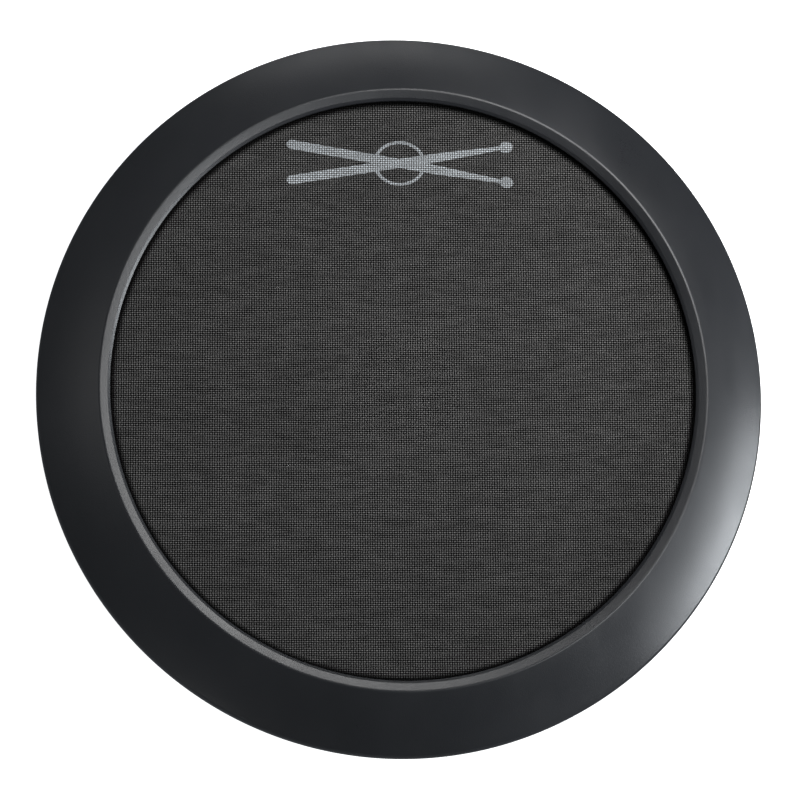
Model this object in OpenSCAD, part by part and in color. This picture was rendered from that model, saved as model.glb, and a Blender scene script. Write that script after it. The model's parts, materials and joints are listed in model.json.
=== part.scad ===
// Mesh-head practice pad: a woven two-ply head under a broad moulded rim, in a shallow bowl
// that holds the sensors, the lead socket and a clamp for a stand's rod.
// Origin: the middle of the pad, on the ground under its feet. +Z up, +Y to the mount bay.

/* [Playing surface] */
// Diameter of the opening that the head is played through
opening_d = 203; // [170:1:330]
// Height of the rim's crest above the ground
pad_h = 64; // [62:1:100]
// Depth of the head below the lip's edge
head_drop = 2.8; // [2.4:0.1:6]
// Thickness of one ply of the woven head
ply_t = 0.45; // [0.3:0.05:0.8]

/* [Rim] */
// Width of the bevel inside the crest
bevel_w = 3.8; // [3:0.1:8]
// Fall of the bevel from the crest to the lip's edge
bevel_fall = 1.2; // [0.4:0.1:2]
// Width of the slope outside the crest
slope_w = 21.7; // [18:0.1:45]
// Fall of the slope from the crest to its outer corner
slope_fall = 13.6; // [8:0.1:18]
// Bulge of the slope above a straight line
slope_bulge = 0.8; // [0.2:0.1:2]
// Height of the skirt below the slope's outer corner
skirt_h = 7.7; // [6:0.1:16]
// Radius along the outer corner
edge_r = 4; // [1:0.5:4]
// Radius along the crest
crest_r = 1.5; // [0.5:0.1:3]
// Thickness of the rubber over the rim hoop
cover_t = 2.6; // [1.6:0.1:4]
// Thickness of the rubber lip
lip_t = 1.9; // [1:0.1:2.2]

/* [Head hoop] */
// Width of the hoop that grips the head
hoop_w = 4; // [3:0.1:6]
// Height of the hoop that grips the head
hoop_h = 5; // [4:0.1:8]
// Thickness of the ring on top of the head hoop
gasket_t = 1; // [0.5:0.1:2]

/* [Case] */
// Thickness of the case's walls
wall_t = 2.6; // [2:0.1:4]
// Thickness of the flange under the rim
flange_t = 3; // [2:0.1:5]
// How much narrower the bowl is at its floor than at its flange
bowl_taper = 13; // [4:0.5:24]
// Radius between the bowl's floor and its side
bowl_round = 7; // [2:0.5:9]
// Height of the ribs on the floor
rib_h = 6; // [3:0.5:12]
// Number of ribs on the floor
rib_count = 5; // [3:1:9]

/* [Clamp] */
// Diameter of the rod that the clamp takes
rod_d = 10; // [8:0.5:13]
// Radial clearance of the rod in the clamp
rod_fit = 0.1; // [0.02:0.01:0.2]
// Length of the clamp's body along the rod
clamp_l = 36; // [30:1:50]
// Thickness of the clamp's body around the rod and the jaw
clamp_wall = 8; // [5:0.5:12]
// Length of the jaw along the rod
jaw_l = 24; // [16:0.5:26]
// Depth of the jaw from the rod's axis to its back
jaw_d = 12; // [11:0.5:16]
// How far the jaw opens from a clamped rod
jaw_travel = 3; // [1:0.5:5]
// Diameter of the wing bolt
bolt_d = 6; // [5:0.5:8]
// Span of the wing bolt's knob
wing_span = 28; // [22:1:34]
// Length of the wing bolt's knob
wing_l = 17; // [12:1:24]

/* [Socket] */
// Diameter of the plug that the socket takes
plug_d = 6.35; // [3.5:0.05:6.35]
// Radial clearance of the plug in the socket
plug_fit = 0.08; // [0.05:0.01:0.4]
// Diameter of the socket's threaded nose
nose_d = 9; // [8:0.1:12]
// Length of the threaded nose from the case's wall outwards
nose_l = 6; // [5:0.1:10]

/* [Sensors] */
// Diameter of the plate under the head sensor
plate_d = 116; // [104:1:130]
// Thickness of the plate under the head sensor
plate_t = 1.5; // [1:0.1:3]
// Diameter of a piezo disc
piezo_d = 27; // [20:0.5:35]
// Diameter of the foam cone at its base
cone_d = 46; // [30:1:60]
// Diameter of the foam cone where it meets the head
cone_tip_d = 16; // [8:1:28]
// Height of the isolators under the plate
isolator_h = 3; // [2:0.1:6]

/* [Feet] */
// Diameter of a foot
foot_d = 18; // [14:0.5:24]
// How far the feet lift the floor off the ground
foot_drop = 4; // [3:0.5:10]
// Distance of the feet from the pad's middle, as a share of the floor's radius
foot_share = 0.87; // [0.75:0.01:0.89]

/* [Fasteners] */
// Number of screws that hold the rim down
rim_screw_count = 8; // [4:1:16]
// Diameter of the rim and sensor screws
screw_d = 3.8; // [3:0.1:4.5]
// Diameter of a screw's head
screw_head_d = 7.2; // [6:0.1:7.4]
// Height of a screw's head
screw_head_h = 2.4; // [1.5:0.1:3]

/* [Hidden] */
$fn = 96;

eps = 0.01;         // overshoot of a cut
fit = 0.1;          // between pieces of one body that are pushed together
clear = 0.3;        // between pieces that move past each other
thread_fit = 0.05;  // a screw in its hole, a pin in its bore
arc_step = 12;      // degrees between the points of a rounded corner
slope_steps = 8;
screw_wall = 1.6;   // around a screw's hole
hole_roof = 1;      // left above a blind hole
head_room = 0.5;    // around a sunk screw head
slot_w = 0.8;       // of a screw head's cross slot
slot_t = 1.2;

// Rim, from its crest downwards and outwards
opening_r = opening_d / 2;
crest_x = opening_r + bevel_w;
rim_r = crest_x + slope_w;
lip_z = pad_h - bevel_fall;
lip_under_z = lip_z - lip_t;
corner_z = pad_h - slope_fall;
skirt_z = corner_z - skirt_h;
hook_w = 7.5;       // how far the rubber turns in under the rim hoop
hook_t = 2.2;
slope_slant = atan2(slope_fall, slope_w);
inner_crest = [crest_x, pad_h] - cover_t * [sin(slope_slant), cos(slope_slant)];
hoop_top_x = inner_crest[0] + (inner_crest[1] - lip_under_z) / tan(slope_slant);
hoop_out_x = rim_r - cover_t;
hoop_out_z = inner_crest[1] - (hoop_out_x - inner_crest[0]) * tan(slope_slant);

// Head, over the bearing edge and down into its hoop
mesh_z = lip_z - head_drop;
ply_gap = 0.05;
head_side = 1.8;    // from the opening to the bearing edge
bearing_x = opening_r + head_side;
bearing_z = mesh_z - 2 * (ply_t + ply_gap);
bearing_round = 1.2;
ply_in = [for (i = [0:1]) bearing_x + fit + i * (ply_t + ply_gap)];
hoop_x = bearing_x + fit + 2 * (ply_t + ply_gap) + ply_gap;
gasket_drop = 3;    // from the bearing edge to the ring on the hoop
gasket_z = bearing_z - gasket_drop;
hoop_top_z = gasket_z - gasket_t;
skirt_end_z = hoop_top_z - hoop_h;
hoop_side = 0.6;    // between the head's hoop and the rim's
hoop_in_x = hoop_x + hoop_w + hoop_side;
gasket_x = max(hoop_x, hoop_top_x);

// Case
flange_z = skirt_z + clear;
flange_gap = 0.5;   // between the flange and the rubber's hook
flange_r = rim_r - hook_w - flange_gap;
bowl_step = 1.6;    // how far the bowl's side is inside the rim hoop
bowl_top_x = hoop_in_x - bowl_step;
bowl_floor_x = bowl_top_x - bowl_taper;
floor_z = foot_drop;
floor_top = floor_z + wall_t;
flange_under = flange_z - flange_t;
shelf_x = bearing_x - wall_t;
shelf_fall = 3;     // of the slant from the bearing ring out to the bowl's side
screw_x = (hoop_in_x + flange_r) / 2;
screw_post_r = screw_d / 2 + screw_wall;
rim_screw_l = hoop_out_z - flange_under - hole_roof;
groove_wall = 2.2;
rib_hub_r = 20;
rib_t = 2;
flange_round = 0.8;
shelf_round = 1;

// Mount bay, open below and towards +Y
ground_gap = 3;
rod_z = wing_span / 2 + ground_gap;
bay_top = rod_z + wing_span / 2 + ground_gap;
rod_r = rod_d / 2 + rod_fit;
clamp_end = clamp_l / 2;
ear_l = 10;
ear_t = 5;
bay_in_y = 30;
ear_gap = 1.5;      // between an ear and the bay's inner wall
clamp_y = bay_in_y + ear_l + clamp_end + ear_gap;
bolt_r = bolt_d / 2;
nut_t = 0.8 * bolt_d;
nut_af = 10 / 6 * bolt_d;
jaw_side = 3;       // of the jaw above and below the rod
jaw_h = rod_d + 2 * jaw_side;
jaw_face_x = 0.9;   // from the rod's axis to the jaw's face
pocket_x = jaw_d + jaw_travel + clear;
nut_wall = 2.5;     // of the clamp before and behind its nut
nut_x = pocket_x + nut_wall;
clamp_in_x = -rod_r - clamp_wall;
clamp_out_x = nut_x + nut_t + 2 * fit + nut_wall;
knob_gap = 3;
knob_x = clamp_out_x + knob_gap;
pocket_wall = 2;    // of the clamp below the jaw
clamp_low = rod_z - jaw_h / 2 - pocket_wall;
finger_room = 14;
bay_out_x = knob_x + wing_l + jaw_travel + finger_room;
plug_side = 19;     // from the socket's axis to the clamp
jack_x = clamp_in_x - plug_side;
plug_edge = 15;     // from the socket's axis to the bay's side
bay_in_x = jack_x - plug_edge;
jack_z = rod_z;
ear_screw_x = (clamp_in_x + clamp_out_x) / 2;
ear_screw_gap = 20;
boss_r = screw_post_r + 0.6;
boss_h = 4;
hole_depth = boss_h + wall_t - hole_roof;

// Tip of the wing bolt in the jaw
tip_l = 5;
clip_t = 0.8;
clip_slot = clip_t + 2 * clear;
clip_r = bolt_r + 1.5;
clip_back = 1.4;    // of the jaw behind the clip
clip_x = jaw_d - clip_back - clip_slot / 2;
groove_r = bolt_r - 0.7;
bolt_sink = 10;     // how deep the bolt sits in its knob

// Sensor stack above the bay's roof
post_x = 48;
post_r = 6;
post_angles = [90, 210, 330];
post_rise = 2.5;    // above the bay's roof
post_top = bay_top + wall_t + post_rise;
plate_z = post_top + isolator_h;
tape_t = 1.5;
brass_t = 0.25;
ceramic_t = 0.25;
brass_edge = 3.5;   // of the brass around the ceramic
ceramic_d = piezo_d - 2 * brass_edge;
tape_edge = 1.5;    // of the ceramic around the cone's tape
tape_z = plate_z + plate_t;
piezo_z = tape_z + tape_t;
cone_z = piezo_z + brass_t + ceramic_t + tape_t;
cone_band = 2;      // of the cone's base that stands upright
screw_sink = 3.6;
tip_room = 0.4;     // below a screw's tip
window_angles = [30, 150, 270];
window_x = 38;
window_r = 10;

// Rim sensor, flat on the floor
rim_piezo = [-62, -36];

// Feet, clear of the bay
foot_r = foot_d / 2;
foot_ring = foot_share * bowl_floor_x;
foot_angles = [26, 154, 225, 315];
foot_sink = 1.4;
foot_hole_r = screw_head_d / 2 + head_room;
foot_web = 1.2;     // of the foot above its screw's head
foot_hole_h = foot_drop - foot_web;
foot_pad_h = 8;
foot_boss_r = boss_r + 1;

// Socket, behind the bay's inner wall
jack_w = 16;
jack_h = 15;
jack_back = 22;
jack_cap = 2;
jack_wall_y = bay_in_y - wall_t;
washer_w = 2.4;
washer_t = 0.8;
jack_nut_w = 2;
jack_nut_h = 2.4;
lug_l = 6;
lug_w = 2;
lug_t = 0.6;
lug_pitch = 4;

// Leads: the points that each is led along, from the sensor to the socket's lugs
lead_r = 0.6;
lug_end = [jack_x, jack_wall_y - jack_back - lug_l, jack_z];
lead_gap = 0.05;
under_cone = cone_z - lead_r - lead_gap;
head_route = [[-9.6, 0, under_cone], [-14, -1, under_cone], [-20, -4, under_cone], [-25, -8, under_cone],
              [-29, -12, plate_z + 1], [-31, -15, plate_z - 5], [-33, -17, plate_z - 13],
              [-33, -14, jack_z + 6], [-31.5, -9, jack_z + 2], lug_end + [1.5, 3, 1.2]];
lead_hole = [-29.5, -12.5];
lead_hole_r = 5.5;
rim_route = [[-55, -33, floor_top + 2.9], [-52, -27, floor_top + 5], [-49, -20, floor_top + 8],
             [-45, -14, jack_z + 0.5], [-40, -9, jack_z + 1.8], lug_end + [-4, -1, 1.6],
             lug_end + [-3, 3, 1.2]];
lead_sides = 8;
lead_steps = 4;

function unit(v) = v / norm(v);
function spin(p, a) = [p[0] * cos(a) - p[1] * sin(a), p[0] * sin(a) + p[1] * cos(a)];

// Points of the arc of radius r that rounds the corner b between a and c
function corner(a, b, c, r) =
    r == 0 ? [b] :
    let (u = unit(a - b), v = unit(c - b), half = acos(u * v) / 2,
         centre = b + unit(u + v) * r / sin(half), start = b + u * r / tan(half) - centre,
         turn = -sign(cross(u, v)) * (180 - 2 * half), n = ceil(abs(turn) / arc_step))
    [for (i = [0:n]) centre + spin(start, turn * i / n)];

// An outline with each corner rounded by its own radius
function rounded(points, radii) =
    let (n = len(points))
    [for (i = [0:n - 1]) each corner(points[(i + n - 1) % n], points[i], points[(i + 1) % n], radii[i])];

// A smooth curve through the points of a route
function route_point(p, i, t) =
    let (n = len(p) - 1, a = p[max(i - 1, 0)], b = p[i], c = p[min(i + 1, n)], d = p[min(i + 2, n)])
    b + ((c - a) * t + (2 * a - 5 * b + 4 * c - d) * t * t + (3 * b - a - 3 * c + d) * t * t * t) / 2;
function route_line(p) =
    concat([for (i = [0:len(p) - 2], k = [0:lead_steps - 1]) route_point(p, i, k / lead_steps)],
           [p[len(p) - 1]]);

module revolve(outline) {
    rotate_extrude($fn = 180) polygon(outline);
}

module around(angles, r) {
    for (a = angles) rotate(a) translate([r, 0, 0]) children();
}

function spread(n, start = 0) = [for (i = [0:n - 1]) start + 360 * i / n];

module tube(r_out, r_in, h) {
    difference() {
        cylinder(r = r_out, h = h);
        translate([0, 0, -eps]) cylinder(r = r_in, h = h + 2 * eps);
    }
}

// A screw with its head's underside at z = 0 and its shank below
module screw(shank_l, head_r = screw_head_d / 2, head_h = screw_head_h, shank_r = screw_d / 2) {
    difference() {
        union() {
            translate([0, 0, -shank_l]) cylinder(r = shank_r, h = shank_l + eps);
            revolve(rounded([[0, 0], [head_r, 0], [head_r, head_h], [0, head_h]], [0, 0, head_h * 0.6, 0]));
        }
        for (a = [0, 90]) rotate(a)
            translate([-head_r / 2, -slot_w / 2, head_h - slot_t]) cube([head_r, slot_w, slot_t + eps]);
    }
}

// A tube swept along a route
module lead(route) {
    line = route_line(route);
    n = len(line);
    m = lead_sides;
    ring = [for (i = [0:n - 1])
        let (t = unit(line[min(i + 1, n - 1)] - line[max(i - 1, 0)]),
             side = unit(cross(t, [0.31, 0.2, 0.93])), up = cross(side, t))
        each [for (k = [0:m - 1]) line[i] + lead_r * (side * cos(360 * k / m) + up * sin(360 * k / m))]];
    walls = [for (i = [0:n - 2], k = [0:m - 1])
        [i * m + k, i * m + (k + 1) % m, (i + 1) * m + (k + 1) % m, (i + 1) * m + k]];
    split = [for (f = walls) each [[f[0], f[2], f[1]], [f[0], f[3], f[2]]]];
    ends = [[for (k = [0:m - 1]) k], [for (k = [m - 1:-1:0]) (n - 1) * m + k]];
    color("firebrick") polyhedron(ring, concat(split, ends));
}

/* Rim */

slope = [for (i = [0:slope_steps]) let (t = i / slope_steps)
    [crest_x + slope_w * t, pad_h - slope_fall * t]
    + 4 * slope_bulge * t * (1 - t) * [sin(slope_slant), cos(slope_slant)]];

module rim_cover() {
    inside = [[rim_r, skirt_z], [rim_r - hook_w, skirt_z], [rim_r - hook_w, skirt_z + hook_t],
              [hoop_out_x, skirt_z + hook_t], [hoop_out_x, hoop_out_z], [hoop_top_x, lip_under_z],
              [opening_r, lip_under_z], [opening_r, lip_z]];
    slope_radii = [for (i = [0:slope_steps]) i == 0 ? crest_r : i == slope_steps ? edge_r : 0];
    color([0.13, 0.13, 0.14])
        revolve(rounded(concat(slope, inside), concat(slope_radii, [1.5, 0.5, 0, 0, 0, 0, 0.4, 0.4])));
}

module rim_hoop() {
    hoop_z = skirt_z + hook_t;
    outline = [[hoop_in_x, flange_z], [flange_r, flange_z], [flange_r, hoop_z],
               [hoop_out_x - fit, hoop_z], [hoop_out_x - fit, hoop_out_z - fit],
               [hoop_top_x, lip_under_z - fit], [hoop_top_x, gasket_z], [hoop_in_x, gasket_z]];
    groove = [[hoop_in_x + groove_wall, flange_z - eps], [flange_r - groove_wall, flange_z - eps],
              [flange_r - groove_wall, hoop_out_z - hole_roof],
              [hoop_in_x + groove_wall, hoop_out_z - hole_roof]];
    color([0.2, 0.2, 0.2]) difference() {
        revolve(outline);
        difference() {
            revolve(groove);
            around(spread(rim_screw_count), screw_x)
                translate([0, 0, flange_z - 1]) cylinder(r = screw_post_r, h = hoop_out_z - flange_z);
        }
        around(spread(rim_screw_count), screw_x)
            translate([0, 0, flange_z - eps])
                cylinder(r = screw_d / 2 + thread_fit, h = rim_screw_l - flange_t + tip_room);
    }
}

module rim_screws() {
    color([0.35, 0.35, 0.37])
        around(spread(rim_screw_count), screw_x)
            translate([0, 0, flange_under]) mirror([0, 0, 1]) screw(rim_screw_l);
}

/* Head */

module ply(i) {
    top = bearing_z + (i + 1) * (ply_t + ply_gap);
    x = ply_in[i];
    r = bearing_round + fit + i * (ply_t + ply_gap);
    revolve(rounded([[0, top - ply_t], [x, top - ply_t], [x, skirt_end_z], [x + ply_t, skirt_end_z],
                     [x + ply_t, top], [0, top]], [0, r, 0, 0, r + ply_t, 0]));
}

module mesh_top() {
    color([0.25, 0.25, 0.25]) ply(1);
}

module mesh_bottom() {
    color([0.18, 0.18, 0.18]) ply(0);
}

module head_hoop() {
    color([0.3, 0.3, 0.3]) translate([0, 0, skirt_end_z]) tube(hoop_x + hoop_w, hoop_x, hoop_h);
}

module hoop_gasket() {
    color([0.15, 0.15, 0.15]) translate([0, 0, hoop_top_z]) tube(hoop_x + hoop_w, gasket_x, gasket_t);
}

/* Case */

module bowl(inset, low) {
    revolve(rounded([[0, low], [bowl_floor_x - inset, low], [bowl_top_x - inset, flange_under],
                     [0, flange_under]], [0, bowl_round - inset, 0, 0]));
}

module case_shell() {
    outside = [[0, floor_z], [bowl_floor_x, floor_z], [bowl_top_x, flange_under], [flange_r, flange_under],
               [flange_r, flange_z], [bearing_x, flange_z], [bearing_x, bearing_z], [shelf_x, bearing_z]];
    inside = [[shelf_x, flange_under], [bowl_top_x - wall_t, flange_under - shelf_fall],
              [bowl_floor_x - wall_t, floor_top], [0, floor_top]];
    revolve(rounded(concat(outside, inside),
                    [0, bowl_round, 0, flange_round, 0, 0, bearing_round, shelf_round, 0, 0,
                     bowl_round - wall_t, 0]));
}

module bay_space(grow) {
    translate([bay_in_x - grow, bay_in_y - grow, floor_z - 1])
        cube([bay_out_x - bay_in_x + 2 * grow, rim_r, bay_top + grow - floor_z + 1]);
}

module at_clamp() {
    translate([0, clamp_y, rod_z]) children();
}

module at_clamp_screws() {
    for (s = [-1, 1], x = [-1, 1])
        translate([ear_screw_x + x * ear_screw_gap / 2, clamp_y + s * (clamp_end + ear_l / 2), 0])
            children();
}

module posts() {
    around([for (a = post_angles) if (a != 90) a], post_x)
        translate([0, 0, floor_z + 1]) cylinder(r = post_r, h = post_top - floor_z - 1);
    translate([0, post_x, bay_top + 1]) cylinder(r = post_r, h = post_top - bay_top - 1);
    at_clamp_screws() translate([0, 0, bay_top + 1]) cylinder(r = boss_r, h = boss_h + wall_t - 1);
    around(foot_angles, foot_ring) translate([0, 0, floor_z + 1]) cylinder(r = foot_boss_r, h = foot_pad_h);
}

module ribs() {
    for (i = [0:rib_count - 1]) rotate(180 + 180 * i / (rib_count - 1))
        translate([rib_hub_r, -rib_t / 2, floor_z + 1])
            cube([bowl_floor_x - bowl_round - rib_hub_r, rib_t, wall_t - 1 + rib_h]);
    translate([0, 0, floor_z + 1]) tube(rib_hub_r + rib_t, rib_hub_r, wall_t - 1 + rib_h);
}

module bottom_case() {
    color([0.17, 0.17, 0.18]) difference() {
        union() {
            case_shell();
            intersection() {
                union() {
                    bowl(0, floor_z);
                    translate([0, 0, flange_under - 1])
                        cylinder(r = shelf_x + eps, h = bearing_z - shelf_round - flange_under + 1);
                }
                bay_space(wall_t);
            }
            posts();
            ribs();
        }
        bay_space(0);
        around(spread(rim_screw_count), screw_x)
            translate([0, 0, flange_under - eps]) cylinder(r = screw_d / 2 + clear, h = flange_t + 2 * eps);
        around(post_angles, post_x)
            translate([0, 0, post_top - screw_sink - tip_room])
                cylinder(r = screw_d / 2 + thread_fit, h = screw_sink + 1);
        at_clamp_screws()
            translate([0, 0, bay_top - eps]) cylinder(r = screw_d / 2 + thread_fit, h = hole_depth + eps);
        around(foot_angles, foot_ring) {
            translate([0, 0, floor_z - eps]) cylinder(r = foot_r + fit, h = foot_sink + eps);
            translate([0, 0, floor_z]) cylinder(r = screw_d / 2 + thread_fit, h = foot_pad_h);
        }
        translate([jack_x, jack_wall_y - eps, jack_z]) rotate([-90, 0, 0])
            cylinder(r = nose_d / 2 + fit, h = wall_t + 2 * eps);
    }
}

/* Sensors */

module sensor_plate() {
    color([0.62, 0.64, 0.66]) translate([0, 0, plate_z]) difference() {
        cylinder(d = plate_d, h = plate_t, $fn = 180);
        around(post_angles, post_x)
            translate([0, 0, -eps]) cylinder(r = screw_d / 2 + clear, h = plate_t + 1);
        around(window_angles, window_x) translate([0, 0, -eps]) cylinder(r = window_r, h = plate_t + 1);
        translate([lead_hole[0], lead_hole[1], -eps]) cylinder(r = lead_hole_r, h = plate_t + 1);
    }
}

module isolators() {
    color([0.1, 0.1, 0.1])
        around(post_angles, post_x)
            translate([0, 0, post_top]) tube(post_r, screw_d / 2 + clear, isolator_h);
}

module sensor_screws() {
    color([0.75, 0.75, 0.76])
        around(post_angles, post_x)
            translate([0, 0, plate_z + plate_t]) screw(plate_t + isolator_h + screw_sink);
}

module disc(d, z, h) {
    translate([0, 0, z]) cylinder(d = d, h = h);
}

module piezo_tape() {
    color([0.85, 0.85, 0.8]) disc(piezo_d, tape_z, tape_t);
}

module piezo_plate() {
    color([0.8, 0.65, 0.3]) disc(piezo_d, piezo_z, brass_t);
}

module piezo_ceramic() {
    color([0.9, 0.9, 0.86]) disc(ceramic_d, piezo_z + brass_t, ceramic_t);
}

module cone_tape() {
    color([0.85, 0.85, 0.8]) disc(ceramic_d - 2 * tape_edge, piezo_z + brass_t + ceramic_t, tape_t);
}

module foam_cone() {
    color([0.3, 0.3, 0.32]) revolve([[0, cone_z], [cone_d / 2, cone_z], [cone_d / 2, cone_z + cone_band],
                                     [cone_tip_d / 2, bearing_z], [0, bearing_z]]);
}

module at_rim_piezo() {
    translate([rim_piezo[0], rim_piezo[1], floor_top]) children();
}

module rim_piezo_tape() {
    color([0.85, 0.85, 0.8]) at_rim_piezo() disc(piezo_d, 0, tape_t);
}

module rim_piezo_plate() {
    color([0.8, 0.65, 0.3]) at_rim_piezo() disc(piezo_d, tape_t, brass_t);
}

module rim_piezo_ceramic() {
    color([0.9, 0.9, 0.86]) at_rim_piezo() disc(ceramic_d, tape_t + brass_t, ceramic_t);
}

module head_lead() {
    lead(head_route);
}

module rim_lead() {
    lead(rim_route);
}

/* Socket */

module at_jack() {
    translate([jack_x, jack_wall_y, jack_z]) rotate([-90, 0, 0]) children();
}

module jack_socket() {
    bore_r = plug_d / 2 + plug_fit;
    color([0.12, 0.12, 0.12]) at_jack() difference() {
        union() {
            translate([-jack_w / 2, -jack_h / 2, -jack_back]) cube([jack_w, jack_h, jack_back]);
            translate([0, 0, -eps]) cylinder(r = nose_d / 2, h = wall_t + nose_l + eps);
            for (i = [-1:1]) translate([i * lug_pitch - lug_w / 2, -lug_t / 2, -jack_back - lug_l])
                cube([lug_w, lug_t, lug_l + 1]);
        }
        translate([0, 0, -jack_back + jack_cap]) cylinder(r = bore_r, h = jack_back + wall_t + nose_l);
    }
}

module jack_washer() {
    color([0.7, 0.7, 0.72]) at_jack()
        translate([0, 0, wall_t]) tube(nose_d / 2 + fit + washer_w, nose_d / 2 + fit, washer_t);
}

module jack_nut() {
    color([0.7, 0.7, 0.72]) at_jack() translate([0, 0, wall_t + washer_t]) difference() {
        cylinder(r = nose_d / 2 + jack_nut_w, h = jack_nut_h, $fn = 6);
        translate([0, 0, -eps]) cylinder(r = nose_d / 2 + thread_fit, h = jack_nut_h + 1);
    }
}

/* Clamp: the rod runs along Y, the wing bolt along X */

module clamp_body() {
    roof = bay_top - rod_z;
    low = clamp_low - rod_z;
    w = clamp_out_x - clamp_in_x;
    color([0.11, 0.11, 0.12]) at_clamp() difference() {
        union() {
            translate([clamp_in_x, -clamp_end, low]) cube([w, clamp_l, roof - low]);
            translate([clamp_in_x, -clamp_end - ear_l, roof - ear_t]) cube([w, clamp_l + 2 * ear_l, ear_t]);
        }
        rotate([-90, 0, 0]) translate([0, 0, -clamp_end - ear_l])
            cylinder(r = rod_r, h = clamp_l + 2 * ear_l);
        translate([0, -jaw_l / 2 - clear, -jaw_h / 2 - clear])
            cube([pocket_x, jaw_l + 2 * clear, jaw_h + 2 * clear]);
        rotate([0, 90, 0]) cylinder(r = bolt_r + clear, h = clamp_out_x + 1);
        translate([nut_x, -nut_af / 2 - fit, low - 1])
            cube([nut_t + 2 * fit, nut_af + 2 * fit, 1 - low + nut_af / sqrt(3) + fit]);
        translate([0, -clamp_y, -rod_z]) at_clamp_screws()
            translate([0, 0, bay_top - ear_t - 1]) cylinder(r = screw_d / 2 + clear, h = ear_t + 2);
    }
}

module clamp_screws() {
    color([0.35, 0.35, 0.37]) at_clamp_screws()
        translate([0, 0, bay_top - ear_t]) mirror([0, 0, 1]) screw(ear_t + hole_depth - 0.5);
}

module clamp_nut() {
    color([0.75, 0.75, 0.76]) at_clamp() translate([nut_x + fit, 0, 0]) rotate([0, 90, 0]) difference() {
        cylinder(r = nut_af / sqrt(3), h = nut_t, $fn = 6);
        translate([0, 0, -eps]) cylinder(r = bolt_r + thread_fit, h = nut_t + 1);
    }
}

module clamp_jaw() {
    color([0.2, 0.2, 0.21]) at_clamp() difference() {
        translate([jaw_face_x, -jaw_l / 2, -jaw_h / 2]) cube([jaw_d - jaw_face_x, jaw_l, jaw_h]);
        rotate([-90, 0, 0]) translate([0, 0, -jaw_l / 2 - 1]) cylinder(r = rod_r, h = jaw_l + 2);
        translate([jaw_d - tip_l, 0, 0]) rotate([0, 90, 0])
            cylinder(r = bolt_r + thread_fit, h = tip_l + 1);
        translate([clip_x - clip_slot / 2, -clip_r - clear, -jaw_h / 2 - 1])
            cube([clip_slot, 2 * (clip_r + clear), jaw_h / 2 + 1 + clip_r + clear]);
    }
}

module wing_bolt() {
    color([0.75, 0.75, 0.76]) at_clamp() rotate([0, 90, 0]) difference() {
        translate([0, 0, jaw_d - tip_l + clear])
            cylinder(r = bolt_r, h = knob_x + bolt_sink - jaw_d + tip_l - clear);
        translate([0, 0, clip_x - clip_t / 2 - thread_fit])
            tube(bolt_r + 1, groove_r, clip_t + 2 * thread_fit);
    }
}

module jaw_clip() {
    color([0.3, 0.3, 0.32])
        at_clamp() translate([clip_x - clip_t / 2, 0, 0]) rotate([0, 90, 0]) difference() {
            tube(clip_r, groove_r + thread_fit, clip_t);
            translate([0, -groove_r * 0.8, -1]) cube([clip_r + 1, groove_r * 1.6, clip_t + 2]);
        }
}

module wing_knob() {
    hub_r = bolt_r + 4;
    wing_t = 5;
    wing_r = wing_span / 2;
    step_l = 4;
    color([0.1, 0.1, 0.1]) at_clamp() translate([knob_x, 0, 0]) rotate([0, 90, 0]) difference() {
        union() {
            cylinder(r = hub_r, h = wing_l - step_l);
            translate([0, 0, step_l]) intersection() {
                translate([-wing_r, -wing_t / 2, 0]) cube([wing_span, wing_t, wing_l - step_l]);
                cylinder(r = wing_r, h = wing_l);
            }
        }
        translate([0, 0, -eps]) cylinder(r = bolt_r, h = bolt_sink + eps);
    }
}

/* Feet */

module rubber_feet() {
    color([0.08, 0.08, 0.08]) around(foot_angles, foot_ring) difference() {
        cylinder(r = foot_r, h = foot_drop + foot_sink);
        translate([0, 0, -eps]) cylinder(r = foot_hole_r, h = foot_hole_h + eps);
        cylinder(r = screw_d / 2 + clear, h = foot_drop + foot_sink + 1);
    }
}

module foot_screws() {
    color([0.35, 0.35, 0.37]) around(foot_angles, foot_ring)
        translate([0, 0, foot_hole_h]) mirror([0, 0, 1]) screw(foot_drop - foot_hole_h + foot_pad_h - 1);
}

rim_cover();
rim_hoop();
mesh_top();
mesh_bottom();
head_hoop();
hoop_gasket();
bottom_case();
rim_screws();
foam_cone();
cone_tape();
piezo_plate();
piezo_ceramic();
piezo_tape();
sensor_plate();
isolators();
sensor_screws();
rim_piezo_plate();
rim_piezo_ceramic();
rim_piezo_tape();
head_lead();
rim_lead();
jack_socket();
jack_washer();
jack_nut();
clamp_body();
clamp_screws();
clamp_nut();
clamp_jaw();
wing_bolt();
wing_knob();
jaw_clip();
rubber_feet();
foot_screws();
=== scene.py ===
"""Mesh-head practice pad: its woven head, moulded rim, finishes and studio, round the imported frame."""

import json
import math

import bmesh
import bpy
from mathutils import Matrix, Vector


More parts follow.
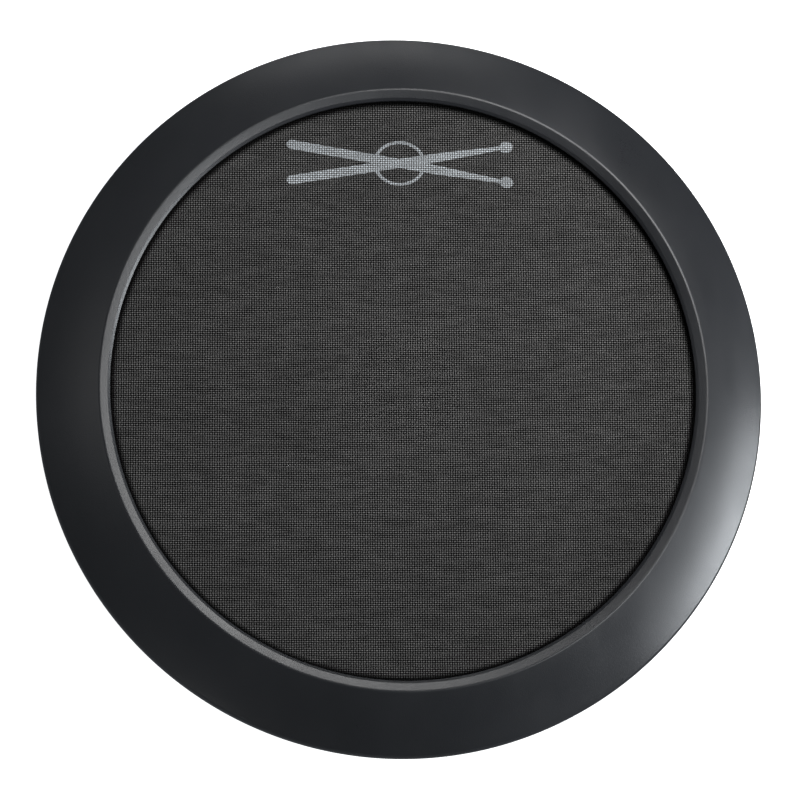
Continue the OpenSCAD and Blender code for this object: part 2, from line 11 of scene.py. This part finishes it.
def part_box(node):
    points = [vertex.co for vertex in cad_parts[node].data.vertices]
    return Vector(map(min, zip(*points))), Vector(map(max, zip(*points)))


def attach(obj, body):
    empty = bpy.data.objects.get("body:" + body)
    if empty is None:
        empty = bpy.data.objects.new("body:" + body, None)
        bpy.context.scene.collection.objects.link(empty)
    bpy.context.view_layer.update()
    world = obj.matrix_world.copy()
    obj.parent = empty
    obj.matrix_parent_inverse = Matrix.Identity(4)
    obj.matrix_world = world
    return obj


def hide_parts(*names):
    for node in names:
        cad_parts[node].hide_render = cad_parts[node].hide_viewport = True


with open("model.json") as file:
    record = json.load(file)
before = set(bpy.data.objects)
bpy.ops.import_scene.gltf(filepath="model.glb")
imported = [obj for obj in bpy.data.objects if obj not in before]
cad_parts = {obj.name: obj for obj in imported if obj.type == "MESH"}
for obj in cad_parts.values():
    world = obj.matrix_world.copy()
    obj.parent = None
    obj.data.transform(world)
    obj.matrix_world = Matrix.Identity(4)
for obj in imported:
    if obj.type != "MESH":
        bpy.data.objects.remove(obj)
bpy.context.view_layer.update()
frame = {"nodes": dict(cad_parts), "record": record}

MM = 0.001


# ---------------------------------------------------------------- places, from the frame


def radii(node):
    """The least and greatest distance of a CAD node's points from the pad's axis."""
    reach = [v.co.xy.length for v in frame["nodes"][node].data.vertices]
    return min(reach), max(reach)


OPENING_R, RIM_R = radii("rim_cover")
CREST_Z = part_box("rim_cover")[1].z
SKIRT_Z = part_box("rim_cover")[0].z
HEAD_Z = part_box("mesh_top")[1].z
HEAD_R = radii("mesh_top")[1]
LOWER_HEAD_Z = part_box("mesh_bottom")[1].z
LOWER_HEAD_R = radii("mesh_bottom")[1]
HEAD_END_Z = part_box("mesh_top")[0].z
RING_Z = CREST_Z - 15.6 * MM  # the height at which the rim is widest


# ---------------------------------------------------------------- outlines


def turned(x, y, angle):
    return Vector((x * math.cos(angle) - y * math.sin(angle), x * math.sin(angle) + y * math.cos(angle)))


def corner(a, b, c, radius, steps):
    """Points of the arc that rounds the corner b between a and c."""
    if radius == 0:
        return [b]
    u, v = (a - b).normalized(), (c - b).normalized()
    half = u.angle(v) / 2
    centre = b + (u + v).normalized() * radius / math.sin(half)
    start = b + u * radius / math.tan(half) - centre
    turn = (math.pi - 2 * half) * (1 if (b - a).cross(c - b) > 0 else -1)
    return [centre + turned(*start, turn * i / steps) for i in range(steps + 1)]


def rounded(points, corner_radii, steps=8):
    points = [Vector(p) for p in points]
    n = len(points)
    out = []
    for i, radius in enumerate(corner_radii):
        out += corner(points[i - 1], points[i], points[(i + 1) % n], radius, steps)
    return out


# ---------------------------------------------------------------- meshes


def make_object(name, bm, smooth_angle=35):
    """An object from a bmesh, smooth except where its faces meet at more than smooth_angle."""
    bmesh.ops.remove_doubles(bm, verts=bm.verts, dist=1e-6)
    bmesh.ops.recalc_face_normals(bm, faces=bm.faces)
    mesh = bpy.data.meshes.new(name)
    bm.to_mesh(mesh)
    bm.free()
    mesh.shade_smooth()
    mesh.set_sharp_from_angle(angle=math.radians(smooth_angle))
    obj = bpy.data.objects.new(name, mesh)
    bpy.context.scene.collection.objects.link(obj)
    return obj


def revolve_into(bm, outline, segments, closed=True, frame_of=None, radius_at=None):
    """Adds the outline of (radius, height) points, turned about an axis, to a bmesh."""
    rings = []
    for k in range(segments):
        angle = 2 * math.pi * k / segments
        ring = []
        for i, (r, z) in enumerate(outline):
            scale = radius_at(angle, i) if radius_at else 1
            p = Vector((r * scale * math.cos(angle), r * scale * math.sin(angle), z))
            ring.append(bm.verts.new(frame_of @ p if frame_of else p))
        rings.append(ring)
    n = len(outline)
    for k in range(segments):
        one, two = rings[k], rings[(k + 1) % segments]
        for i in range(n if closed else n - 1):
            corners = [one[i], two[i], two[(i + 1) % n], one[(i + 1) % n]]
            bm.faces.new(corners)


def revolved(name, outline, segments=256, closed=True, frame_of=None, radius_at=None, smooth_angle=35):
    bm = bmesh.new()
    revolve_into(bm, outline, segments, closed, frame_of, radius_at)
    return make_object(name, bm, smooth_angle)


def finish_piece(obj, material, body, node=None):
    obj.data.materials.clear()
    obj.data.materials.append(material)
    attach(obj, body)
    if node:
        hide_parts(node)
    return obj


# ---------------------------------------------------------------- shader helpers


class Shader:
    """A material with short calls for the nodes that the finishes below are made of."""

    def __init__(self, name):
        self.material = bpy.data.materials.new(name)
        self.material.use_nodes = True
        self.tree = self.material.node_tree
        self.tree.nodes.clear()
        self.out = self.tree.nodes.new("ShaderNodeOutputMaterial")
        self.where = self.node("ShaderNodeTexCoord").outputs["Object"]

    def node(self, kind, **settings):
        made = self.tree.nodes.new(kind)
        for key, value in settings.items():
            setattr(made, key, value)
        return made

    def set(self, socket, value):
        if isinstance(value, bpy.types.NodeSocket):
            self.tree.links.new(value, socket)
        else:
            socket.default_value = value

    def math(self, operation, *values):
        made = self.node("ShaderNodeMath", operation=operation)
        for socket, value in zip(made.inputs, values):
            self.set(socket, value)
        return made.outputs[0]

    def ramp(self, value, low, high, to_low=0.0, to_high=1.0):
        """value from low..high, carried to to_low..to_high and held there beyond them."""
        made = self.node("ShaderNodeMapRange")
        for socket, item in zip(made.inputs, (value, low, high, to_low, to_high)):
            self.set(socket, item)
        return made.outputs[0]

    def placed(self, scale, turn=0.0):
        """The object's own coordinates, turned about its axis and stretched."""
        made = self.node("ShaderNodeMapping")
        self.set(made.inputs["Vector"], self.where)
        self.set(made.inputs["Rotation"], (0, 0, turn))
        self.set(made.inputs["Scale"], scale)
        return made.outputs[0]

    def noise(self, size, detail=3.0, roughness=0.5, stretch=(1, 1, 1)):
        """Noise whose features are about size metres across."""
        made = self.node("ShaderNodeTexNoise")
        self.set(made.inputs["Vector"], self.placed(stretch))
        self.set(made.inputs["Scale"], 1 / size)
        self.set(made.inputs["Detail"], detail)
        self.set(made.inputs["Roughness"], roughness)
        return made.outputs["Fac"]

    def cells(self, size):
        """The distance from the nearest of points that are about size metres apart."""
        made = self.node("ShaderNodeTexVoronoi", feature="F1")
        self.set(made.inputs["Vector"], self.where)
        self.set(made.inputs["Scale"], 1 / size)
        return made.outputs["Distance"]

    def mix(self, fac, a, b):
        made = self.node("ShaderNodeMix", data_type="RGBA")
        self.set(made.inputs["Factor"], fac)
        self.set(made.inputs[6], a)
        self.set(made.inputs[7], b)
        return made.outputs[2]

    def bump(self, height, distance, strength=1.0, under=None):
        made = self.node("ShaderNodeBump")
        self.set(made.inputs["Strength"], strength)
        self.set(made.inputs["Distance"], distance)
        self.set(made.inputs["Height"], height)
        if under:
            self.set(made.inputs["Normal"], under)
        return made.outputs[0]

    def finish(self, **values):
        """The Principled surface, with inputs by name; spaces in a name are underscores."""
        surface = self.node("ShaderNodeBsdfPrincipled")
        for key, value in values.items():
            self.set(surface.inputs[key.replace("_", " ")], value)
        self.tree.links.new(surface.outputs[0], self.out.inputs["Surface"])
        return self.material


def shade(value, tint=(1, 1, 1)):
    return (value * tint[0], value * tint[1], value * tint[2], 1)


# ---------------------------------------------------------------- finishes


def moulded(name, colour, roughness, grain=0.5 * MM, grain_depth=0.02 * MM, wear=0.3):
    """A moulded plastic or rubber: fine grain, cloudy gloss and a little dust."""
    s = Shader(name)
    fine = s.noise(grain, 4, 0.6)
    cloud = s.noise(35 * MM, 3, 0.55)
    dust = s.ramp(s.cells(5 * MM), 0.0, 0.05, 1, 0)
    pale = tuple(min(1, c * (1 + wear) + 0.004) for c in colour[:3]) + (1,)
    tone = s.mix(s.ramp(cloud, 0.35, 0.7), colour, pale)
    speck = s.math("MULTIPLY", dust, s.ramp(s.noise(12 * MM, 2), 0.58, 0.66))
    tone = s.mix(s.math("MULTIPLY", speck, 0.25), tone, shade(0.18))
    gloss = s.math("ADD", s.ramp(cloud, 0.3, 0.7, roughness - 0.04, roughness + 0.05),
                   s.ramp(fine, 0.3, 0.7, -0.03, 0.03))
    return s.finish(Base_Color=tone, Roughness=gloss, Normal=s.bump(fine, grain_depth))


def metal(name, colour, roughness, stretch=(1, 1, 1)):
    """A plated or rolled metal with fine lines and faint stains."""
    s = Shader(name)
    grain = s.noise(0.4 * MM, 3, 0.6, stretch)
    cloud = s.noise(14 * MM, 3, 0.5)
    dark = tuple(c * 0.82 for c in colour[:3]) + (1,)
    tone = s.mix(s.ramp(cloud, 0.35, 0.65), dark, colour)
    gloss = s.math("ADD", s.ramp(cloud, 0.3, 0.7, roughness - 0.05, roughness + 0.06),
                   s.ramp(grain, 0.3, 0.7, -0.05, 0.05))
    return s.finish(Base_Color=tone, Metallic=1.0, Roughness=gloss, Normal=s.bump(grain, 0.01 * MM, 0.6))


def open_foam(name, colour):
    """Foam with open cells, with painted shade in the cells' hollows."""
    s = Shader(name)
    cell = s.cells(0.9 * MM)
    # painted shade: darker near each cell's middle, where the hollow is
    tone = s.mix(s.ramp(cell, 0.1, 0.6), tuple(c * 0.35 for c in colour[:3]) + (1,), colour)
    return s.finish(Base_Color=tone, Roughness=0.95, Sheen_Weight=0.3, Normal=s.bump(cell, 0.4 * MM))


def rim_rubber():
    """Satin black rubber: a fine even grain, broad cloudy gloss, handling marks and specks of dust."""
    s = Shader("rim_rubber")
    fine = s.noise(0.45 * MM, 5, 0.65)
    broad = s.noise(60 * MM, 3, 0.5)
    rub = s.noise(18 * MM, 4, 0.6, (1, 0.35, 1))
    tone = s.mix(s.ramp(broad, 0.3, 0.7), (0.0105, 0.0112, 0.0128, 1), (0.0150, 0.0158, 0.0180, 1))
    speck = s.ramp(s.cells(3.2 * MM), 0.02, 0.05, 1, 0)
    dust = s.math("MULTIPLY", speck, s.ramp(s.noise(9 * MM, 2), 0.5, 0.62))
    tone = s.mix(s.math("MULTIPLY", dust, 0.35), tone, shade(0.16))
    gloss = s.math("ADD", s.ramp(broad, 0.3, 0.7, 0.31, 0.36), s.ramp(rub, 0.35, 0.7, -0.03, 0.05))
    gloss = s.math("ADD", gloss, s.ramp(fine, 0.3, 0.7, -0.04, 0.04))
    grain = s.bump(fine, 0.045 * MM, 1.0, s.bump(broad, 0.25 * MM, 0.5))
    return s.finish(Base_Color=tone, Roughness=gloss, Specular_IOR_Level=0.5, Normal=grain)


def woven(name, pitch, turn, thread, high, low, warp_share=1.0):
    """A plain-woven net of round threads, its colour painted with light: painted highlight on the thread
    crests, painted shade where the threads dip under each other and towards their edges, and a painted
    shadow of the rim's lip near the opening. pitch is the thread spacing across and along it, turn its angle
    on the pad, thread half a thread's width as a share of the spacing, high the colour of the painted
    highlight, low the colour of the painted shade, and warp_share how bright the warp is beside the weft."""
    drift, wave_height, edge_gain, contrast = 0.5, 0.6, 6.0, 1.7
    # where the painted shadow of the rim's lip begins and where it is darkest
    lip_shadow_start, lip_shadow_end = OPENING_R - 2.4 * MM, OPENING_R - 0.7 * MM
    s = Shader(name)
    split = s.node("ShaderNodeSeparateXYZ")
    s.set(split.inputs[0], s.placed((1 / pitch[0], 1 / pitch[1], 1), turn))
    wander = [s.math("MULTIPLY_ADD", s.noise(3 * MM, 2, 0.6, stretch), drift, -drift / 2)
              for stretch in ((1, 0.5, 1), (0.5, 1, 1))]
    u, v = (s.math("ADD", split.outputs[i], wander[i]) for i in range(2))
    sets = []
    for across, along, sign in ((u, v, 1), (v, u, -1)):
        number = s.math("ROUND", across)
        off = s.math("DIVIDE", s.math("SUBTRACT", across, number), thread)
        inside = s.math("MAXIMUM", s.math("SUBTRACT", 1.0, s.math("MULTIPLY", off, off)), 0.0)
        phase = s.math("MULTIPLY", s.math("ADD", along, number), math.pi)
        wave = s.math("MULTIPLY", s.math("COSINE", phase), sign)
        height = s.math("MULTIPLY_ADD", wave, wave_height, s.math("SQRT", inside))
        cover = s.math("MINIMUM", s.math("MULTIPLY", inside, edge_gain), 1.0)
        # painted highlight on each thread's crest, painted shade where it dips under the crossing thread and
        # towards its edges
        lit = s.math("MULTIPLY", s.ramp(wave, -0.3, 0.8, 0.04, 1.0), s.ramp(inside, 0.3, 0.95))
        sets.append((s.math("MULTIPLY", s.math("ADD", height, 1.0), cover), cover, lit))
    (warp, warp_cover, warp_lit), (weft, weft_cover, weft_lit) = sets
    lift = s.math("MAXIMUM", warp, weft)
    lit = s.math("MAXIMUM", s.math("MULTIPLY", warp_lit, warp_share), weft_lit)
    patch = s.ramp(s.noise(45 * MM, 3, 0.5), 0.3, 0.7, 1.0, 0.86)
    slub = s.ramp(s.noise(2.2 * MM, 2, 0.5, (0.3, 1, 1)), 0.35, 0.7, 1.0, 0.7)
    fibre = s.noise(0.12 * MM, 2, 0.6)
    reach = s.node("ShaderNodeVectorMath", operation="LENGTH")
    s.set(reach.inputs[0], s.placed((1, 1, 0)))
    # painted shadow of the rim's lip: the threads darken towards the opening's edge
    lip_shadow = s.ramp(reach.outputs["Value"], lip_shadow_start, lip_shadow_end, 1.0, 0.05)
    lit = s.math("MULTIPLY", s.math("POWER", lit, contrast), lip_shadow)
    # the thread colour runs from low in the painted shade to high in the painted highlight
    tone = s.mix(s.math("MULTIPLY", lit, s.math("MULTIPLY", patch, slub)), low, high)
    normal = s.bump(s.math("ADD", lift, s.math("MULTIPLY", fibre, 0.15)), 0.11 * MM, 0.5)
    return s.finish(Base_Color=tone, Alpha=s.math("MAXIMUM", warp_cover, weft_cover), Roughness=0.5,
                    Specular_IOR_Level=0.02, Normal=normal)


UPPER_WEAVE = dict(pitch=(0.846 * MM, 0.752 * MM), turn=0.0, thread=0.34, warp_share=0.84)
LOWER_WEAVE = dict(pitch=(0.80 * MM, 0.76 * MM), turn=math.radians(5.5), thread=0.42)
# the colour of the painted highlight on the upper ply's thread crests
LIT_THREAD_GREY = shade(0.215, (1, 0.975, 0.955))
INK_GREY = shade(0.8, (0.93, 1, 1.05))

FINISH = {
    "rim_rubber": rim_rubber(),
    "mesh_upper": woven("mesh_upper", high=LIT_THREAD_GREY, low=shade(0.001), **UPPER_WEAVE),
    # the lower ply is the same net painted far darker: painted shade beneath the upper ply
    "mesh_lower": woven("mesh_lower", high=shade(0.03), low=shade(0.001), **LOWER_WEAVE),
    "printed_ink": woven("printed_ink", high=INK_GREY, low=shade(0.1), **UPPER_WEAVE),
    "core_plastic": moulded("core_plastic", shade(0.03), 0.5),
    "soft_rubber": moulded("soft_rubber", shade(0.02), 0.7),
    "case_plastic": moulded("case_plastic", shade(0.018, (1, 1, 1.06)), 0.46, 0.9 * MM, 0.05 * MM),
    "clamp_plastic": moulded("clamp_plastic", shade(0.014, (1, 1, 1.05)), 0.42, 0.6 * MM, 0.03 * MM),
    "socket_plastic": moulded("socket_plastic", shade(0.012), 0.35, 0.3 * MM, 0.01 * MM),
    "foot_rubber": moulded("foot_rubber", shade(0.012), 0.65, 0.35 * MM, 0.03 * MM),
    "lead_sheath": moulded("lead_sheath", (0.3, 0.012, 0.012, 1), 0.4, 0.4 * MM, 0.01 * MM),
    "black_steel": metal("black_steel", shade(0.07, (1, 1, 1.05)), 0.38),
    "bright_steel": metal("bright_steel", shade(0.6, (1, 1.01, 1.03)), 0.28),
    "plate_steel": metal("plate_steel", shade(0.5), 0.4, (1, 0.06, 1)),
    "sensor_brass": metal("sensor_brass", (0.72, 0.52, 0.22, 1), 0.3),
    "sensor_ceramic": moulded("sensor_ceramic", shade(0.6), 0.5, 0.3 * MM, 0.01 * MM, 0.1),
    "foam": open_foam("foam", shade(0.1)),
    "foam_tape": open_foam("foam_tape", shade(0.7)),
}


def finish_cad_nodes():
    """Each CAD node that shows gets the finish of its own slot."""
    for entry in frame["record"]["subparts"]:
        obj = frame["nodes"][entry["node"]]
        obj.data.materials.clear()
        obj.data.materials.append(FINISH[entry["material_slot"]])


# ---------------------------------------------------------------- rim


def rim_outline():
    """The rim's section: bevel, crest, bulging slope, rounded edge, skirt and the turned-in hook."""
    bevel, bevel_fall, lip = 3.8 * MM, 1.2 * MM, 1.9 * MM
    lip_cut, lip_drop = 0.9 * MM, 0.78 * MM
    slope_fall, bulge, cover = 13.6 * MM, 0.8 * MM, 2.6 * MM
    hook, hook_t = 7.5 * MM, 2.2 * MM
    crest_lift = 0.114 * MM
    crest_round, edge_round, skirt_round = 1.5 * MM, 4 * MM, 1.5 * MM
    hook_round, hook_edge_round, under_round, lip_round = 0.6 * MM, 0.3 * MM, 0.5 * MM, 0.15 * MM
    crest = Vector((OPENING_R + bevel, CREST_Z + crest_lift))
    edge = Vector((RIM_R, crest.y - slope_fall))
    fall = edge - crest
    out = Vector((-fall.y, fall.x)).normalized()
    steps = 24
    slope = [crest + fall * (i / steps) + out * 4 * bulge * (i / steps) * (1 - i / steps)
             for i in range(1, steps)]
    inner_crest = crest - out * cover
    under_z = crest.y - bevel_fall - lip
    lip_z = crest.y - bevel_fall * (1 - lip_cut / bevel)
    shoulder = inner_crest.x + (inner_crest.y - under_z) * fall.x / -fall.y
    wall_z = inner_crest.y + (RIM_R - cover - inner_crest.x) * fall.y / fall.x
    points = [crest, *slope, edge, (RIM_R, SKIRT_Z),
              (RIM_R - hook, SKIRT_Z), (RIM_R - hook, SKIRT_Z + hook_t),
              (RIM_R - cover, SKIRT_Z + hook_t), (RIM_R - cover, wall_z), (shoulder, under_z),
              (OPENING_R, under_z), (OPENING_R, lip_z - lip_drop), (OPENING_R + lip_cut, lip_z)]
    return rounded(points, [crest_round, *[0] * (steps - 1), edge_round, skirt_round, hook_round,
                            hook_edge_round, 0, 0, 0, under_round, lip_round, lip_round])


def make_rim():
    rim = revolved("rim_skin", rim_outline(), 512)
    return finish_piece(rim, FINISH["rim_rubber"], "pad", "rim_cover")


# ---------------------------------------------------------------- woven head


def head_rise(r):
    """How far the cushion under the middle lifts the head, at a distance from the axis."""
    rise, width = 0.35 * MM, 16 * MM
    return rise * math.exp(-(r / width) ** 2)


def head_outline(top_z, out_r, fold):
    """From the middle, over the bearing edge and down into the hoop, and the length of that line."""
    flat_r = out_r - fold
    steps, fold_steps = 40, 10
    line = [(flat_r * (i / steps), top_z + head_rise(flat_r * i / steps)) for i in range(steps + 1)]
    for i in range(1, fold_steps + 1):
        turn = math.pi / 2 * i / fold_steps
        line.append((flat_r + fold * math.sin(turn), top_z - fold * (1 - math.cos(turn))))
    line.append((out_r, HEAD_END_Z))
    return line, sum(math.dist(a, b) for a, b in zip(line, line[1:]))


def make_ply(name, node, top_z, out_r, fold, slot):
    line, length = head_outline(top_z, out_r, fold)
    ply = revolved(name, [(max(r, 1e-7), z) for r, z in line], 240, closed=False)
    finish_piece(ply, FINISH[slot], "pad", node)
    return ply


# ---------------------------------------------------------------- printed mark


def stick_outline(length, width, steps=10):
    """A drumstick along x: a butt, a straight shaft, a taper and a bead at its tip."""
    butt, taper, bead = -length / 2, length * 0.28, width * 0.62
    neck = length / 2 - 1.7 * bead
    half = [(butt + width / 2 * (1 - math.cos(a)), width / 2 * math.sin(a))
            for a in [math.pi / 2 * i / steps for i in range(1, steps + 1)]]
    half += [(taper - length * 0.12, width / 2), (neck, width * 0.2)]
    half += [(length / 2 - bead + bead * 1.25 * math.cos(a), bead * math.sin(a))
             for a in [math.pi * 0.84 - math.pi * 0.78 * i / steps for i in range(steps + 1)]]
    return [(butt, 0)] + half + [(length / 2 + bead * 0.3, 0)] + [(x, -y) for x, y in reversed(half)]


def make_mark():
    """A plain pair of crossed sticks over a ring, printed on the upper ply's threads."""
    centre = Vector((-1.2 * MM, 79.5 * MM))
    height, layer = HEAD_Z + 0.03 * MM, 0.01 * MM
    stick, stick_w, stick_turn = 80 * MM, 3.2 * MM, math.radians(9.5)
    ring_radii, ring_depth, ring_steps = (8.0 * MM, 9.2 * MM), 0.87, 96
    bm = bmesh.new()

    def lay(points, lift):
        face = bm.faces.new([bm.verts.new((centre.x + x, centre.y + y, height + lift)) for x, y in points])
        bmesh.ops.triangulate(bm, faces=[face])

    for side in (-1, 1):
        outline = stick_outline(stick, stick_w)
        lay([turned(x, y, side * stick_turn) for x, y in outline], layer * (side + 1))
    ring = [Vector((math.cos(a), math.sin(a)))
            for a in [2 * math.pi * k / ring_steps for k in range(ring_steps)]]
    inner, outer = [[bm.verts.new((centre.x + p.x * r, centre.y + p.y * r * ring_depth, height + 4 * layer))
                     for p in ring] for r in ring_radii]
    for k in range(ring_steps):
        m = (k + 1) % ring_steps
        bm.faces.new((inner[k], outer[k], outer[m], inner[m]))
    mark = make_object("printed_mark", bm)
    return finish_piece(mark, FINISH["printed_ink"], "pad")


# ---------------------------------------------------------------- sensor cushion


def make_cushion():
    """The foam cone under the head: a moulded cone with a soft waist."""
    low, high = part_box("foam_cone")
    base_r, tip_r = (high.x - low.x) / 2, 8 * MM
    waist, plinth = 1.28 * MM, 2 * MM
    steps = 16
    side = [(base_r + (tip_r - base_r) * t - waist * math.sin(math.pi * t),
             low.z + plinth + (high.z - low.z - plinth) * t) for t in [i / steps for i in range(steps + 1)]]
    outline = [(1e-7, low.z), (base_r, low.z), *side, (1e-7, high.z)]
    cushion = revolved("sensor_cushion", outline, 96, closed=False)
    finish_piece(cushion, FINISH["foam"], "pad", "foam_cone")


# ---------------------------------------------------------------- feet and wing knob


def make_feet():
    """Rubber feet with rounded edges and a well for the screw, in place of the plain ones."""
    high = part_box("rubber_feet")[1]
    near, shank_r, well_r, well_depth = 15 * MM, 2.2 * MM, 4.1 * MM, 2.8 * MM
    corners = [v.co for v in frame["nodes"]["rubber_feet"].data.vertices]
    screws = [v.co for v in frame["nodes"]["foot_screws"].data.vertices]
    centres = []
    for p in screws:
        if all((p.xy - sum(c, Vector((0, 0))) / len(c)).length > near for c in centres):
            centres.append([p.xy])
        else:
            min(centres, key=lambda c: (p.xy - c[0]).length).append(p.xy)
    bm = bmesh.new()
    for group in centres:
        xs, ys = [p.x for p in group], [p.y for p in group]
        middle = Vector(((min(xs) + max(xs)) / 2, (min(ys) + max(ys)) / 2, 0))
        reach = max((c.xy - middle.xy).length for c in corners if (c.xy - middle.xy).length < near)
        outline = rounded([(reach, 0), (reach, high.z), (shank_r, high.z), (shank_r, well_depth),
                           (well_r, well_depth), (well_r, 0)],
                          [1.2 * MM, 0.2 * MM, 0, 0, 0, 0.5 * MM])
        revolve_into(bm, outline, 72, frame_of=Matrix.Translation(middle))
    feet = make_object("feet_moulded", bm)
    return finish_piece(feet, FINISH["foot_rubber"], "pad", "rubber_feet")


def make_wing():
    """The wing bolt's knob: one moulding with two lobes that flare from a round hub."""
    low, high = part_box("wing_knob")
    axis_y, axis_z = (low.y + high.y) / 2, (low.z + high.z) / 2
    length, span = high.x - low.x, (high.z - low.z) / 2
    hub, point_gap = 7 * MM, 0.7 * MM
    flare_start, flare_run, lobe_power = 0.22, 0.3, 26
    outline = rounded([(1e-7, 0), (hub, 0), (hub, length), (1e-7, length)], [0, 1 * MM, 2.5 * MM, 0], 6)
    stretch = [outline[0]]
    for a, b in zip(outline, outline[1:]):
        n = max(1, round((b - a).length / point_gap))
        stretch += [a + (b - a) * i / n for i in range(1, n + 1)]

    def lobes(angle, i):
        along = stretch[i].y / length
        flare = min(1, max(0, (along - flare_start) / flare_run))
        flare = flare * flare * (3 - 2 * flare)
        lobe = abs(math.cos(angle)) ** lobe_power
        return 1 + flare * lobe * (span / hub - 1)

    turn = Matrix.Translation((low.x, axis_y, axis_z)) @ Matrix.Rotation(math.pi / 2, 4, "Y")
    wing = revolved("wing_grip", stretch, 220, closed=False, frame_of=turn, radius_at=lobes, smooth_angle=50)
    return finish_piece(wing, FINISH["clamp_plastic"], "wing", "wing_knob")


# ---------------------------------------------------------------- studio


def make_camera():
    """11 degrees off the pad's axis, from its front left, with the mount side at the top."""
    azimuth, elevation, distance = math.radians(-28.0), math.radians(79.2), 1.2
    sensor_width, focal_length, shift = 36, 154.7, (-0.0021, -0.0083)
    back = Vector((math.sin(azimuth) * math.cos(elevation), -math.cos(azimuth) * math.cos(elevation),
                   math.sin(elevation)))
    right = Vector((math.cos(azimuth), math.sin(azimuth), 0))
    up = back.cross(right)
    across = right * math.cos(azimuth) - up * math.sin(azimuth)
    upward = right * math.sin(azimuth) + up * math.cos(azimuth)
    data = bpy.data.cameras.new("camera")
    data.sensor_width, data.lens = sensor_width, focal_length
    data.shift_x, data.shift_y = shift
    data.clip_start, data.clip_end = 0.05, 20
    camera = bpy.data.objects.new("camera", data)
    camera.matrix_world = (Matrix.Translation(Vector((0, 0, RING_Z)) + back * distance)
                           @ Matrix((across, upward, back)).transposed().to_4x4())
    bpy.context.scene.collection.objects.link(camera)
    bpy.context.scene.camera = camera


def softbox(name, azimuth, elevation, distance, size, power, colour=(1, 1, 1)):
    """A soft area light that looks at the pad. azimuth is from +X towards +Y and elevation from the
    floor, in degrees; size is across and up, in metres; power is in watts."""
    a, e = math.radians(azimuth), math.radians(elevation)
    away = Vector((math.cos(a) * math.cos(e), math.sin(a) * math.cos(e), math.sin(e)))
    data = bpy.data.lights.new(name, "AREA")
    data.shape, data.size, data.size_y = "RECTANGLE", size[0], size[1]
    data.energy, data.color = power, colour
    light = bpy.data.objects.new(name, data)
    light.location = away * distance
    light.rotation_mode = "QUATERNION"
    light.rotation_quaternion = away.to_track_quat("Z", "Y")
    bpy.context.scene.collection.objects.link(light)


def make_studio():
    """A pale floor just under the feet, a dim sky and soft lights round the pad."""
    bm = bmesh.new()
    bmesh.ops.create_grid(bm, x_segments=1, y_segments=1, size=4)
    floor = make_object("floor", bm)
    floor.location.z = -0.2 * MM
    s = Shader("pale_floor")
    cloud = s.noise(0.4, 2)
    floor.data.materials.append(
        s.finish(Base_Color=s.mix(cloud, shade(0.86), shade(0.9)), Roughness=0.85,
                 Emission_Color=(1, 1, 1, 1), Emission_Strength=1.0))
    floor.visible_glossy = False
    world = bpy.data.worlds.new("studio")
    world.use_nodes = True
    world.node_tree.nodes["Background"].inputs[0].default_value = (0.85, 0.92, 1.0, 1)
    world.node_tree.nodes["Background"].inputs[1].default_value = 0.13
    bpy.context.scene.world = world
    softbox("key_low", -14, 8, 1.5, (0.85, 0.34), 21, (0.92, 0.96, 1.0))
    softbox("bevel_high", -24, 57, 1.5, (0.25, 0.25), 6.3, (0.95, 0.98, 1.0))
    softbox("top_back", 50, 55, 0.5, (0.3, 0.3), 2.1)
    softbox("back_low", 90, 2, 1.5, (0.9, 0.24), 1.8)
    softbox("fill_left", 168, 42, 1.5, (0.7, 0.7), 1.2)
    softbox("edge_front", -123, 5, 1.4, (0.2, 0.2), 0.6)
    bpy.context.scene.view_settings.view_transform = "Standard"


make_camera()
finish_cad_nodes()
make_rim()
make_ply("head_upper", "mesh_top", HEAD_Z, HEAD_R, 2.3 * MM, "mesh_upper")
make_ply("head_lower", "mesh_bottom", LOWER_HEAD_Z, LOWER_HEAD_R, 1.75 * MM, "mesh_lower")
make_mark()
make_cushion()
make_feet()
make_wing()
make_studio()
